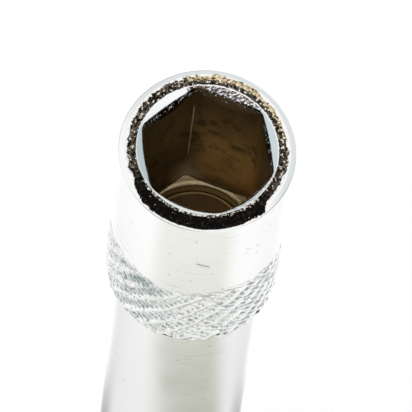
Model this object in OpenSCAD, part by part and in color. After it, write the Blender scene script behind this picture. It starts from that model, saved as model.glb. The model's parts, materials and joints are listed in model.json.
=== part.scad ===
// Ratcheting bit holder screwdriver, standing on its end cap with the socket up.
// Millimetres. The shaft lies on Z, and z = 0 is the flat of the end cap.

/* [Socket head] */
// Diameter of the head
head_d = 9.5; // [9:0.1:12]
// Length of the head, from its mouth to its shoulder
head_len = 15; // [12.5:0.1:20]
// Width of the hexagon socket across its flats
socket_af = 6.45; // [6.36:0.01:6.5]
// Depth of the hexagon socket
socket_depth = 11.2; // [8:0.1:12]
// Diameter of the lead-in cone at the mouth
mouth_d = 7.55; // [7.52:0.01:8]
// Depth of the lead-in cone on the flats of the hexagon
mouth_depth = 0.9; // [0.4:0.1:1.5]
// Width of the bevel round the end face
rim_bevel = 0.45; // [0.2:0.05:0.5]
// Drop of that bevel
rim_drop = 0.2; // [0.1:0.05:0.5]
// Length of the knurled band, which ends at the shoulder
knurl_len = 6.7; // [3:0.1:8]
// Ridges of the knurl round the band, each way
knurl_count = 24; // [18:1:36]
// Rows of sunk diamonds along the band
knurl_rows = 4; // [2:1:6]
// Depth of the knurl
knurl_depth = 0.28; // [0.1:0.02:0.4]

/* [Magnet] */
// Diameter of the disc magnet
magnet_d = 6; // [5:0.1:6.1]
// Thickness of the disc magnet
magnet_h = 3; // [2:0.1:5]
// Depth of the face of the magnet below the floor of the socket
magnet_set = 0.4; // [0.3:0.1:1.5]
// Chamfer round the edges of the magnet
magnet_chamfer = 0.2; // [0.1:0.05:0.4]

/* [Shaft] */
// Diameter of the shaft
shaft_d = 8.2; // [7.4:0.1:8.8]
// Length from the nose to the mouth of the socket
shaft_reach = 87; // [60:1:160]
// Step from the shaft down to the gear seat
seat_step = 0.6; // [0.3:0.1:0.7]
// Depth of each of the two flats on the gear seat
seat_flat = 0.6; // [0.4:0.05:0.7]
// Diameter of the rear journal
journal_d = 5.4; // [4.6:0.1:5.4]
// Length of the rear journal
journal_len = 11; // [8:0.5:14]

/* [Ratchet] */
// Teeth of the gear
gear_teeth = 24; // [18:6:30]
// Radius at the root of the teeth
gear_root_r = 6.2; // [6:0.1:6.6]
// Depth of the teeth
tooth_depth = 1; // [0.8:0.05:1.2]
// Length of the gear
gear_len = 9; // [7:0.5:14]
// Distance from the nose of a pawl to its pivot
pawl_arm = 6.5; // [6.2:0.1:7]
// Distance from the pivot of a pawl to its tail
tail_arm = 8; // [7.8:0.1:8.4]
// Thickness of the arms of a pawl
pawl_bar = 1.7; // [1.3:0.1:1.8]
// Radius of the round tail of a pawl
tail_r = 1.15; // [1:0.05:1.3]
// Diameter of the pawl pins
pin_d = 2; // [1.5:0.1:2.2]
// Wall of the pawl round its pin
pin_wall = 0.7; // [0.5:0.05:0.8]
// Thickness of the thrust washers
washer_t = 0.7; // [0.5:0.1:1.2]
// Thickness of the snap ring
ring_t = 0.7; // [0.5:0.1:1]
// Open part of the snap ring, in degrees
ring_gap = 60; // [40:5:90]

/* [Housing] */
// Wall of the cup round the pawl chambers
cup_wall = 1.2; // [1.1:0.1:2]
// Floor of the cup
floor_t = 2.6; // [2.5:0.1:4]
// Radius of the spigot in the handle
spigot_r = 7.2; // [6.6:0.1:7.3]
// Length of the spigot
spigot_len = 26; // [24:1:32]
// Height of the four keys on the spigot
key_h = 1; // [0.6:0.1:1.4]
// Width of the keys
key_w = 3; // [2:0.1:4]
// Wall of the two bearing bushes
bush_wall = 1.5; // [1:0.1:1.8]
// Length of the housing cover
cover_len = 11.5; // [10:0.5:20]
// Thickness of the flange of the cover
flange_t = 3.2; // [2.5:0.1:5]
// Wall of the nose of the cover
nose_wall = 2; // [1.2:0.1:3]
// Thickness of the ring section of the nose seal
seal_d = 1.4; // [1:0.1:1.6]
// Diameter of the cover screws
screw_d = 2.5; // [2:0.1:2.6]
// Diameter of the housing bolt
bolt_d = 5; // [4:0.5:6]
// Thickness of the washer under the head of that bolt
bolt_washer_t = 1; // [0.8:0.1:1.6]
// Length of handle core between that washer and the spigot
core_web = 13; // [8:1:20]

/* [Selector] */
// Wall of the selector ring
selector_wall = 3.6; // [3:0.1:5]
// Turn of the selector from end to end, in degrees
selector_turn = 60; // [48:2:60]
// Finger flutes round the selector
flute_count = 20; // [12:1:28]
// Depth of the finger flutes
flute_depth = 0.6; // [0.3:0.05:0.9]

/* [Handle] */
// Height of the end cap
cap_h = 10; // [6:0.5:16]
// Length of the handle core
core_len = 102; // [94:1:130]
// Radius of the flat that the tool stands on
foot_r = 11; // [9:0.5:12]
// Radius of the handle where it meets the end cap
back_r = 14.4; // [13.5:0.1:15.2]
// Largest radius of the handle
bulge_r = 16.8; // [16:0.1:19]
// Smallest radius of the handle
waist_r = 12.9; // [12.5:0.1:14]
// Thickness of the soft grip
grip_t = 2.1; // [1.6:0.1:2.2]
// Length of bare core behind the grip
bare_back = 10; // [8:0.5:14]
// Length of bare core in front of the grip
bare_front = 12; // [8:0.5:16]
// Radius of the six long flutes in the grip
scoop_r = 7; // [5:0.5:10]
// Depth of these flutes at the largest radius
scoop_depth = 1.4; // [0.5:0.1:1.5]
// Radius of the plug of the end cap
plug_r = 7; // [6.5:0.1:8]
// Length of that plug
plug_len = 8; // [5:0.5:12]

/* [Hidden] */
$fn = 48;

// Clearances: pieces that stay put, pieces that run, the float along the shaft, and the selector.
fit = 0.02;
run = 0.05;
float = 0.1;
slack = 0.3;

// Levels along the shaft, from the handle up.
z_front = cap_h + core_len;
z_floor = z_front + floor_t;
z_ring = z_floor + washer_t + float;
z_gear = z_ring + ring_t;
z_gear_top = z_gear + gear_len;
z_boss = z_gear_top + washer_t + 2 * float;
z_cup = z_boss + 0.6;
z_nose = z_cup + cover_len;
z_tip = z_nose + shaft_reach;
z_shoulder = z_tip - head_len;
z_pawl = z_floor + slack;
z_pawl_top = z_boss - slack;
z_mid = (z_pawl + z_pawl_top) / 2;
z_spigot = z_front - spigot_len;

// Shaft and its bearings.
seat_r = shaft_d / 2 - seat_step;
groove_r = seat_r - 0.5;
front_bush_r = shaft_d / 2 + bush_wall;
rear_bush_r = journal_d / 2 + bush_wall;
rear_bush_len = journal_len + 1;
seal_seat = seal_d + 0.6;
nose_r = front_bush_r + nose_wall;

// Gear teeth, as half angles of the tip and the root of a tooth.
pitch = 360 / gear_teeth;
tip_half = 0.13 * pitch;
root_half = 0.33 * pitch;
gear_tip_r = gear_root_r + tooth_depth;
gear_bore_r = gear_tip_r + 0.5;
thrust_r = gear_root_r - 0.2;

// A pawl with its nose in the gear, in a frame whose X runs out through the nose.
nose_angle = 60;
nose_gap = 0.15;
bite_r = gear_root_r + 0.7 * tooth_depth;
back_of_nose = [gear_tip_r + 1.3, 0];
pivot = [bite_r, pawl_arm];
pivot_r = norm(pivot);
tail = pivot + tail_arm * [-pivot.y, pivot.x] / pivot_r;
boss_r = pin_d / 2 + pin_wall;
swing = (tooth_depth - nose_gap + 0.2) / pawl_arm * 180 / PI;

// Rings round the pawls.
chamber_r = pivot_r + boss_r + 0.12;
housing_r = chamber_r + cup_wall;
selector_bore_r = housing_r + run;
selector_r = selector_bore_r + selector_wall;
cover_r = selector_r - 1;
screw_r = spigot_r + screw_d + 0.1;
stop_angle = -95;

// Handle.
z_bulge = cap_h + 24;
z_waist = z_front - 26;
z_guard = z_front - 6;
guard_r = selector_r - 0.4;
z_grip = cap_h + bare_back;
z_grip_top = z_front - bare_front;
bolt_seat = z_spigot - core_web;
z_bolt = bolt_seat - bolt_washer_t;
bolt_bite = 2 * bolt_d;
bolt_bore_r = bolt_d + 0.4;

// Turn a point round the origin.
function turned(p, a) = [p.x * cos(a) - p.y * sin(a), p.x * sin(a) + p.y * cos(a)];

// Where a point of the pawl lies when the pawl has swung out by a.
function swung(p, a) = turned(pivot + turned(p - pivot, a), nose_angle);

function polar(r, a) = [r * cos(a), r * sin(a)];

// A smooth half wave from a to b as t goes from 0 to 1.
function wave(a, b, t) = a + (b - a) * (1 - cos(180 * t)) / 2;

// Radius of the handle at a height.
function handle_r(z) =
    z < z_bulge ? bulge_r - (bulge_r - back_r) * pow((z_bulge - z) / (z_bulge - cap_h), 2)
    : z < z_waist ? wave(bulge_r, waist_r, (z - z_bulge) / (z_waist - z_bulge))
    : z < z_guard ? wave(waist_r, guard_r, (z - z_waist) / (z_guard - z_waist))
    : guard_r - 0.9 * pow((z - z_guard) / (z_front - z_guard), 2);

function steps(a, b, n) = [for (i = [0:n]) a + (b - a) * i / n];

module tube(z0, z1, r_out, r_in) {
    translate([0, 0, z0])
        difference() {
            cylinder(h = z1 - z0, r = r_out);
            translate([0, 0, -1])
                cylinder(h = z1 - z0 + 2, r = r_in);
        }
}

module rod(z0, z1, r) {
    translate([0, 0, z0])
        cylinder(h = z1 - z0, r = r);
}

// A sector of a ring from angle a0 to a1.
module sector(a0, a1, r0, r1, z0, z1) {
    rotate(a0)
        rotate_extrude(angle = a1 - a0)
            translate([r0, z0])
                square([r1 - r0, z1 - z0]);
}

// Diamond knurl: two sets of ridges that cross at full radius, with a sunk diamond in each mesh.
module knurled_disc(r, depth, h, around, rows) {
    cols = 2 * around;
    tall = 2 * rows;
    rings = [for (j = [0:tall]) for (i = [0:cols - 1])
        let (q = polar((i + j) % 2 == 0 ? r : r - depth, 360 * i / cols))
            [q.x, q.y, h * j / tall]];
    function at(i, j) = j * cols + (i + cols) % cols;
    sides = [for (j = [0:tall - 1]) for (i = [0:cols - 1])
        each (i + j) % 2 == 1
            ? [[at(i, j), at(i, j + 1), at(i + 1, j)],
               [at(i + 1, j), at(i, j + 1), at(i + 1, j + 1)]]
            : [[at(i, j), at(i + 1, j + 1), at(i + 1, j)],
               [at(i, j), at(i, j + 1), at(i + 1, j + 1)]]];
    low = len(rings);
    ends = [for (i = [0:cols - 1])
        each [[low, at(i, 0), at(i + 1, 0)],
              [low + 1, at(i + 1, tall), at(i, tall)]]];
    polyhedron(concat(rings, [[0, 0, 0], [0, 0, h]]), concat(sides, ends), convexity = 6);
}

// Hexagon with corners on Y, the bore of the magnet and the lead-in cone.
module socket() {
    translate([0, 0, z_tip - socket_depth])
        rotate(30)
            cylinder(h = socket_depth + 1, r = socket_af / sqrt(3), $fn = 6);
    rod(z_tip - socket_depth - magnet_set - magnet_h, z_tip - socket_depth + 0.1, magnet_d / 2 + fit);
    flare = (mouth_d - socket_af) / 2 / mouth_depth;
    translate([0, 0, z_tip - mouth_depth - 0.3])
        cylinder(h = mouth_depth + 0.4, r1 = socket_af / 2 - 0.3 * flare, r2 = mouth_d / 2 + 0.1 * flare);
}

// The bar: head, knurled band, shaft, gear seat and rear journal.
module bit_holder_shaft() {
    knurl_r = head_d / 2 - 0.03;
    core_r = knurl_r - knurl_depth - 0.1;
    z_knurl = z_shoulder + knurl_len;
    outline = [[0, z_floor - journal_len], [journal_d / 2 - 0.4, z_floor - journal_len],
               [journal_d / 2, z_floor - journal_len + 0.4], [journal_d / 2, z_floor + 0.1],
               [seat_r, z_floor + 0.1], [seat_r, z_gear_top], [shaft_d / 2, z_gear_top],
               [shaft_d / 2, z_shoulder + 0.3], [core_r, z_shoulder + 0.3], [core_r, z_knurl],
               [head_d / 2, z_knurl], [head_d / 2, z_tip - rim_drop],
               [head_d / 2 - rim_bevel, z_tip], [0, z_tip]];
    color("gainsboro")
        difference() {
            union() {
                rotate_extrude()
                    polygon(outline);
                translate([0, 0, z_shoulder])
                    knurled_disc(knurl_r, knurl_depth, knurl_len + 0.05, knurl_count, knurl_rows);
            }
            seat_cuts();
            socket();
        }
}

// Two flats on the gear seat, and the groove of the snap ring.
module seat_cuts() {
    for (side = [0, 180])
        rotate(side)
            translate([seat_r - seat_flat, -seat_r - 1, z_floor + 0.1])
                cube([seat_r, 2 * seat_r + 2, z_gear_top - z_floor - 0.1]);
    tube(z_ring, z_gear, seat_r + 1, groove_r);
}

module socket_magnet() {
    edge = magnet_d / 2 - magnet_chamfer;
    color("dimgray")
        translate([0, 0, z_tip - socket_depth - magnet_set - magnet_h])
            rotate_extrude()
                polygon([[0, 0], [edge, 0], [magnet_d / 2, magnet_chamfer],
                         [magnet_d / 2, magnet_h - magnet_chamfer], [edge, magnet_h], [0, magnet_h]]);
}

// Even teeth, with a gap on every multiple of the pitch.
module ratchet_gear() {
    corners = [for (i = [0:gear_teeth - 1]) for (k = [-1, 1])
        each k < 0
            ? [polar(gear_root_r, (i + 0.5) * pitch - root_half), polar(gear_tip_r, (i + 0.5) * pitch - tip_half)]
            : [polar(gear_tip_r, (i + 0.5) * pitch + tip_half), polar(gear_root_r, (i + 0.5) * pitch + root_half)]];
    color("slategray")
        translate([0, 0, z_gear])
            linear_extrude(gear_len)
                difference() {
                    polygon(corners);
                    intersection() {
                        circle(seat_r + fit);
                        square([2 * (seat_r - seat_flat + fit), 4 * seat_r], center = true);
                    }
                }
}

module gear_snap_ring() {
    color("silver")
        sector(ring_gap / 2, 360 - ring_gap / 2, groove_r + fit, seat_r + 1.1, z_ring + fit, z_gear - fit);
}

module rear_thrust_washer() {
    color("silver")
        tube(z_floor, z_floor + washer_t, thrust_r, seat_r + float);
}

module front_thrust_washer() {
    color("silver")
        tube(z_gear_top + float, z_gear_top + float + washer_t, thrust_r, shaft_d / 2 + float);
}

module front_bush() {
    color("goldenrod")
        tube(z_boss, z_nose - seal_seat, front_bush_r, shaft_d / 2 + run);
}

module rear_bush() {
    color("goldenrod")
        tube(z_floor - rear_bush_len, z_floor, rear_bush_r, journal_d / 2 + run);
}

module key_bars(extra) {
    for (a = [45:90:315])
        rotate(a)
            translate([0, -key_w / 2 - extra, z_spigot + 2 - extra])
                cube([spigot_r + key_h + extra, key_w + 2 * extra, spigot_len - 2 + extra]);
}

module ratchet_housing() {
    color("darkgray")
        difference() {
            union() {
                rod(z_front, z_cup, housing_r);
                rod(z_spigot, z_front + 1, spigot_r);
                key_bars(0);
                sector(stop_angle - 4, stop_angle + 4, housing_r - 0.5, housing_r + 0.8, z_front + slack, z_front + 2);
            }
            rod(z_floor, z_cup + 1, gear_bore_r);
            rod(z_floor - rear_bush_len, z_floor + 1, rear_bush_r + fit);
            for (side = [0, 1])
                mirror([0, side, 0]) {
                    pawl_chamber();
                    pin_at_pivot(pin_d / 2 + fit, z_floor - 1.5, z_floor + 1);
                }
            for (side = [-1, 1])
                translate([side * screw_r, 0, 0]) {
                    rod(z_front, z_cup + 1, screw_d / 2 + fit);
                    rod(z_front - 1, z_front + screw_d * 0.8 + slack, screw_d * 0.9 + float);
                }
            sector(-27, 27, housing_r - 0.65, housing_r + 1, z_mid - 2.7, z_mid + 2.7);
            rod(z_spigot - 1, z_spigot + bolt_bite + 1, bolt_d / 2 + fit);
        }
}

// Room for a pawl, the window for its tail and the pocket of its spring.
module pawl_chamber() {
    sector(nose_angle - 15, nose_angle + 100, gear_bore_r - 1, chamber_r, z_floor, z_cup + 1);
    sector(nose_angle + 62, nose_angle + 98, chamber_r - 1, housing_r + 1, z_floor, z_cup + 1);
    rotate(nose_angle)
        translate([gear_bore_r, 0, z_mid])
            rotate([0, 90, 0])
                cylinder(h = housing_r - 0.5 - gear_bore_r, r = 1.2);
}

module pin_at_pivot(r, z0, z1) {
    rotate(nose_angle)
        translate(pivot)
            rod(z0, z1, r);
}

// Nose of the tool, with a boss that holds the thrust washer down.
module housing_cover() {
    shell = concat(
        [[front_bush_r + fit, z_cup], [cover_r, z_cup], [cover_r, z_cup + flange_t - 1.2]],
        [for (a = steps(15, 90, 5))
            [cover_r - 1.2 + 1.2 * cos(a), z_cup + flange_t - 1.2 + 1.2 * sin(a)]],
        [for (t = steps(0.1, 1, 8))
            [wave(cover_r - 1.2, nose_r, min(1, 0.15 + 0.85 * t)), z_cup + flange_t + (cover_len - flange_t - 0.6) * t]],
        [[nose_r - 0.6, z_nose], [front_bush_r + fit, z_nose]]);
    color("lightslategray")
        difference() {
            union() {
                rotate_extrude()
                    polygon(shell);
                tube(z_boss, z_cup + 0.5, gear_bore_r - 0.3, front_bush_r + fit);
            }
            for (side = [-1, 1])
                translate([side * screw_r, 0, 0])
                    rod(z_cup - 1, z_cup + flange_t - 0.8, screw_d / 2 + fit);
            for (side = [0, 1])
                mirror([0, side, 0])
                    pin_at_pivot(pin_d / 2 + fit, z_cup - 1, z_cup + 1.5);
        }
}

module cover_screws() {
    color("silver")
        for (side = [-1, 1])
            translate([side * screw_r, 0, 0]) {
                rod(z_front + screw_d * 0.8 + slack - 0.1, z_cup + flange_t - 1, screw_d / 2);
                rod(z_front + slack, z_front + screw_d * 0.8 + slack, screw_d * 0.9);
            }
}

module nose_seal() {
    color("black")
        rotate_extrude()
            translate([shaft_d / 2 + run + seal_d / 2, z_nose - seal_seat + seal_d / 2 + fit])
                circle(seal_d / 2, $fn = 32);
}

// A flat arm from p to q with a round end at q.
module bar(p, q, w) {
    translate(p)
        rotate(atan2(q.y - p.y, q.x - p.x))
            translate([0, -w / 2])
                square([norm(q - p), w]);
    translate(q)
        circle(w / 2 + 0.03);
}

// Half the gap between two teeth at a radius, less the play of the nose.
function half_gap(r) =
    let (t = (r - gear_root_r) / tooth_depth)
        r * sin(pitch / 2 - root_half + (root_half - tip_half) * t) - 0.1;

module pawl_outline() {
    low = gear_root_r + nose_gap;
    high = gear_tip_r + 0.1;
    difference() {
        union() {
            bar(pivot, back_of_nose, pawl_bar);
            bar(pivot, tail, pawl_bar);
            translate(pivot)
                circle(boss_r);
            translate(tail)
                circle(tail_r);
            polygon([[low, -half_gap(low)], [high, -half_gap(high)], [back_of_nose.x, -pawl_bar / 2.2],
                     [back_of_nose.x, pawl_bar / 2.2], [high, half_gap(high)], [low, half_gap(low)]]);
        }
        translate(pivot)
            circle(pin_d / 2 + run);
    }
}

module pawl_swung(a) {
    translate([0, 0, z_pawl])
        linear_extrude(z_pawl_top - z_pawl)
            rotate(nose_angle)
                translate(pivot)
                    rotate(a)
                        translate(-pivot)
                            pawl_outline();
}

// In the gear while the selector stands at forward.
module forward_pawl() {
    color("steelblue")
        mirror([0, 1, 0])
            pawl_swung(0);
}

// Lifted clear of the gear while the selector stands at forward.
module reverse_pawl() {
    color("indianred")
        pawl_swung(swing);
}

module pawl_pins() {
    color("silver")
        for (side = [0, 1])
            mirror([0, side, 0])
                pin_at_pivot(pin_d / 2, z_floor - 1.4, z_cup + 1.4);
}

// A coil of round wire along Z, with eight rings to a turn.
module coil(h, mean_r, wire, turns) {
    n = 8 * turns;
    wires = [for (k = [0:n]) for (s = [0:5])
        let (a = 45 * k, m = mean_r + wire / 2 * cos(60 * s))
            [m * cos(a), m * sin(a), wire / 2 + (h - wire) * k / n + wire / 2 * sin(60 * s)]];
    skin = [for (k = [0:n - 1]) for (s = [0:5])
        [6 * k + s, 6 * k + (s + 1) % 6, 6 * k + 6 + (s + 1) % 6, 6 * k + 6 + s]];
    ends = [[5, 4, 3, 2, 1, 0], [for (s = [0:5]) 6 * n + s]];
    polyhedron(wires, concat(skin, ends), convexity = 8);
}

// From the back of a pawl that has swung out by a to the wall of its pocket.
module pawl_spring(a) {
    from = turned(swung(back_of_nose, a), -nose_angle).x + pawl_bar / 2 + 0.1;
    to = housing_r - 0.6;
    rotate(nose_angle)
        translate([from, 0, z_mid])
            rotate([0, 90, 0])
                coil(to - from, 0.8, 0.3, 3);
}

module forward_pawl_spring() {
    color("silver")
        mirror([0, 1, 0])
            pawl_spring(0);
}

module reverse_pawl_spring() {
    color("silver")
        pawl_spring(swing);
}

// Path of the tail of a pawl over the inside of the selector, as [radius, angle] pairs.
// The tail lies at its outer end when the selector has turned by s and t is 0.
function cam(s, t, side) =
    let (p = swung(tail, swing * t))
        [norm(p) + tail_r + 0.1, side * atan2(p.y, p.x) - s];

module cam_recess(side) {
    path = [for (u = steps(0, 1, 12)) cam(selector_turn * u, side > 0 ? 1 - u : u, side)];
    reach = asin((tail_r + 0.3) / housing_r);
    first = path[0];
    last = path[len(path) - 1];
    rim = concat([[first[0], first[1] + reach]], path, [[last[0], last[1] - reach]]);
    translate([0, 0, z_pawl - slack])
        linear_extrude(z_cup - z_pawl + slack)
            polygon(concat(
                [for (p = rim) polar(p[0], p[1])],
                [for (i = [len(rim) - 1:-1:0]) polar(housing_r - 1, rim[i][1])]));
}

module selector_ring() {
    bottom = z_front + slack;
    top = z_cup - slack;
    edge = 0.6;
    color("firebrick")
        difference() {
            rotate_extrude()
                polygon([[selector_bore_r, bottom], [selector_r - edge, bottom], [selector_r, bottom + edge],
                         [selector_r, top - edge], [selector_r - edge, top], [selector_bore_r, top]]);
            cam_recess(1);
            cam_recess(-1);
            for (k = [0:2])
                rotate(-selector_turn / 2 * k)
                    translate([selector_bore_r + 0.55 - 2.7, 0, z_mid - 3])
                        cylinder(h = 6, r = 2.7);
            sector(stop_angle - selector_turn - 5, stop_angle + 5, housing_r - 1, housing_r + 1, bottom - 1, z_front + 2.3);
            for (i = [0:flute_count - 1])
                rotate(360 * (i + 0.5) / flute_count)
                    translate([selector_r + 1.6 - flute_depth, 0, bottom + 2])
                        cylinder(h = top - bottom - 4, r = 1.6, $fn = 24);
        }
}

// Bent strip in the side of the cup, with its crest in a notch of the selector.
module detent_spring() {
    thick = 0.35;
    low = housing_r - 0.65 + fit + thick / 2;
    crest = selector_bore_r + 0.4 - thick / 2;
    function mid(a) = low + (crest - low) * pow(0.5 + 0.5 * cos(180 * a / 24), 4);
    line = steps(-24, 24, 32);
    color("lightsteelblue")
        translate([0, 0, z_mid - 2.5])
            linear_extrude(5)
                polygon(concat(
                    [for (a = line) polar(mid(a) + thick / 2, a)],
                    [for (i = [len(line) - 1:-1:0]) polar(mid(line[i]) - thick / 2, line[i])]));
}

// Six long flutes with their axes along the handle.
module scoops() {
    for (i = [0:5])
        rotate(60 * i + 30)
            translate([bulge_r - scoop_depth + scoop_r, 0, cap_h])
                cylinder(h = z_waist - 8 - cap_h, r = scoop_r);
}

module handle_core() {
    back = steps(cap_h, z_grip, 6);
    under = steps(z_grip, z_grip_top, 32);
    front = steps(z_grip_top, z_front, 8);
    outline = concat(
        [[0, cap_h]],
        [for (z = back) [handle_r(z), z]],
        [for (z = under) [handle_r(z) - grip_t, z]],
        [for (z = front) [handle_r(z), z]],
        [[0, z_front]]);
    color("dimgray")
        difference() {
            rotate_extrude()
                polygon(outline);
            scoops();
            rod(z_spigot, z_front + 1, spigot_r + fit);
            key_bars(fit);
            rod(bolt_seat - 1, z_spigot + 1, bolt_d / 2 + 0.2);
            rod(cap_h - 1, bolt_seat, bolt_bore_r);
            rod(cap_h - 1, cap_h + plug_len + 0.5, plug_r + fit);
        }
}

module grip_sleeve() {
    line = steps(z_grip + fit, z_grip_top - fit, 32);
    color("black")
        difference() {
            rotate_extrude()
                polygon(concat(
                    [for (z = line) [handle_r(z), z]],
                    [for (i = [len(line) - 1:-1:0]) [handle_r(line[i]) - grip_t + 2 * fit, line[i]]]));
            scoops();
            for (z = [z_waist - 6:3:z_waist + 9])
                rotate_extrude()
                    translate([handle_r(z) + 0.5, z])
                        circle(1.1, $fn = 24);
        }
}

module end_cap() {
    color("dimgray")
        union() {
            rotate_extrude()
                polygon(concat(
                    [[0, 0]],
                    [for (a = steps(0, 90, 10)) [foot_r + (back_r - foot_r) * sin(a), cap_h * (1 - cos(a))]],
                    [[0, cap_h]]));
            rod(cap_h - 1, cap_h + plug_len, plug_r);
        }
}

module housing_bolt() {
    color("silver")
        difference() {
            union() {
                rod(z_bolt - 0.1, z_spigot + bolt_bite, bolt_d / 2);
                rod(z_bolt - bolt_d, z_bolt, 0.85 * bolt_d);
            }
            translate([0, 0, z_bolt - bolt_d - 1])
                cylinder(h = 1 + bolt_d / 2, r = 0.46 * bolt_d, $fn = 6);
        }
}

module bolt_washer() {
    color("silver")
        tube(z_bolt, bolt_seat, bolt_d, bolt_d / 2 + 0.1);
}

bit_holder_shaft();
socket_magnet();
ratchet_gear();
gear_snap_ring();
rear_thrust_washer();
front_thrust_washer();
front_bush();
rear_bush();
ratchet_housing();
housing_cover();
cover_screws();
nose_seal();
forward_pawl();
reverse_pawl();
pawl_pins();
forward_pawl_spring();
reverse_pawl_spring();
selector_ring();
detent_spring();
handle_core();
grip_sleeve();
end_cap();
housing_bolt();
bolt_washer();
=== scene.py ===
import json
import math
import bpy
from mathutils import Matrix, Vector, noise


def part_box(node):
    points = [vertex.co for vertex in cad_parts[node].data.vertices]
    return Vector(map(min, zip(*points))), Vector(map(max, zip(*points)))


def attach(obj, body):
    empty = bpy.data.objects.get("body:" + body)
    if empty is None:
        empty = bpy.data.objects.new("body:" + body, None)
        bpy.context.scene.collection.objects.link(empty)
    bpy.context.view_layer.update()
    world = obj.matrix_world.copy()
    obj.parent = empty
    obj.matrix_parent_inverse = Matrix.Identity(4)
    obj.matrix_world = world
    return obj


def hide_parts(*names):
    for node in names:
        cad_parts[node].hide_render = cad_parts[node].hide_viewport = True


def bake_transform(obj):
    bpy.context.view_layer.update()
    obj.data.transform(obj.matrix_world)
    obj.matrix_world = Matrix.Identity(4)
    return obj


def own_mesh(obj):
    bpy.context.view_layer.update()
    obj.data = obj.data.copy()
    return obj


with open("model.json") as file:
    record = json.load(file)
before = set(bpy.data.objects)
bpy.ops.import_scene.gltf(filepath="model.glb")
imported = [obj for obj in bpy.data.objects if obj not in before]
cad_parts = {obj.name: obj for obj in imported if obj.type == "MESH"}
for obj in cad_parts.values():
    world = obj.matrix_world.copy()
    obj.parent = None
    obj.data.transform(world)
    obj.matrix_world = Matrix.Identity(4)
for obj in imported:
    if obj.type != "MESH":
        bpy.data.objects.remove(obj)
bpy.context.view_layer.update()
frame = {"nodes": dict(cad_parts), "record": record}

# Lengths are in millimetres, in the part's frame, and become metres where a mesh or a node needs them.
MM = 0.001
TURN = 2 * math.pi
SIXTH = TURN / 6


def top(node):
    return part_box(node)[1].z / MM


def bottom(node):
    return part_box(node)[0].z / MM


# Levels of the bar, from the tip down.
HEAD_LENGTH = 15
KNURL_LENGTH = 6.7
Z_TIP = top("bit_holder_shaft")
Z_SHOULDER = Z_TIP - HEAD_LENGTH
Z_KNURL_TOP = Z_SHOULDER + KNURL_LENGTH
Z_SHAFT = top("ratchet_gear")
Z_GEAR = bottom("ratchet_gear")
Z_GROOVE = bottom("gear_snap_ring") - 0.02
Z_SEAT = bottom("rear_thrust_washer") + 0.1
Z_JOURNAL = bottom("bit_holder_shaft")

# Radii of the bar, and how far the flats of its gear seat lie from the axis.
HEAD_R = 4.75
SHAFT_R = 4.1
SEAT_R = 3.5
SEAT_FLAT = 2.9
GROOVE_R = 2.88
JOURNAL_R = 2.7
JOURNAL_CHAMFER = 0.4
BAR_SEGMENTS = 480

# The fillet where the shaft meets the head and the soft lower edge of the head, as ways out and up.
SHAFT_FILLET = ((0, -0.15), (0.05, -0.04), (0.18, 0))
HEAD_EDGE = ((-0.4, 0), (-0.12, 0.12))

# End of the head: rim, flare of the mouth, socket and magnet. The socket's width is across its flats.
RIM_R = 4.3
RIM_DROP = 0.24
RIM_RELIEF = 0.07
RIM_LUMPS_PER_MM = 4.6
MOUTH_R = 3.775
MOUTH_EDGE = 0.12
MOUTH_DROP = 0.05
MOUTH_SLOPE = 0.611
SOCKET_WIDTH = 6.45
SOCKET_CORNER_R = 3.64
SOCKET_DEPTH = 11.2
Z_FLOOR = Z_TIP - SOCKET_DEPTH
LEDGE_SLOPE = 0.25
LEDGE_FOOT = 0.06
LEDGE_EDGE = 0.08
MAGNET_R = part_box("socket_magnet")[1].y / MM
MAGNET_CHAMFER = 0.2
MAGNET_SEGMENTS = 96
BORE_R = MAGNET_R + 0.02

# Curves of the flare at the front and at the back of the mouth: the slope they start with and their power.
FLARE_FRONT = (0.05, 2.5)
FLARE_BACK = (0.15, 8)

# Knurl: rising ridges, falling cuts and finer rungs. Their widths are shares of the pitch.
KNURL_RIDGES = 23
KNURL_CUTS = 25
KNURL_LEAN = 0.82
KNURL_DEPTH = 0.21
KNURL_INNER_R = SHAFT_R + 0.3
RIDGE_WIDTH = 0.38
CUT_WIDTH = 0.34
CUT_FALL = 1.2
RUNG_WIDTH = 0.5
RUNG_FALL = 2.2
RUNGS_PER_CUT = 1.4

# Handle.
PLUG_LENGTH = 8
PLUG_R = 7
PLUG_CHAMFER = 0.4
Z_CAP = top("end_cap") - PLUG_LENGTH
Z_FRONT = top("handle_core")
Z_BULGE = Z_CAP + 24
Z_WAIST = Z_FRONT - 26
Z_GUARD = Z_FRONT - 6
FOOT_R = 11
BACK_R = 14.4
BULGE_R = 16.8
WAIST_R = 12.9
GUARD_R = 15.749
CAP_SEGMENTS = 192

# Grip: its wall, the room it leaves to the core and to the outline, its soft ends, hollows and grooves.
GRIP_WALL = 2.1
GRIP_PLAY = 0.045
GRIP_SKIN = 0.01
GRIP_END_LENGTH = 0.5
GRIP_END_DROP = 0.4
GRIP_END_STEPS = (0, 0.06, 0.2, 0.45)
GRIP_SEGMENTS = 240
SCOOP_COUNT = 6
SCOOP_R = 7
SCOOP_AXIS = 22.4
Z_SCOOP_TOP = Z_WAIST - 8
SCOOP_RUN_OUT = 1
SCOOP_SOFTNESS = 0.5
GROOVE_COUNT = 6
GROOVE_PITCH = 3
GROOVE_CUT_R = 1.1
GROOVE_LIFT = 0.5
GROOVE_SOFTNESS = 0.15
Z_FIRST_GROOVE = Z_WAIST - 6

# Pawl springs: the angle of their axes, and how far from the axis of the tool they start and end.
SPRING_ANGLE = math.radians(60)
POCKET_R = 11.8995
FREE_START = 9.45
PRESSED_START = 10.4746
COIL_TURNS = 3
COIL_STEPS = 24
COIL_R = 0.8
WIRE_R = 0.15
WIRE_SIDES = 10

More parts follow.
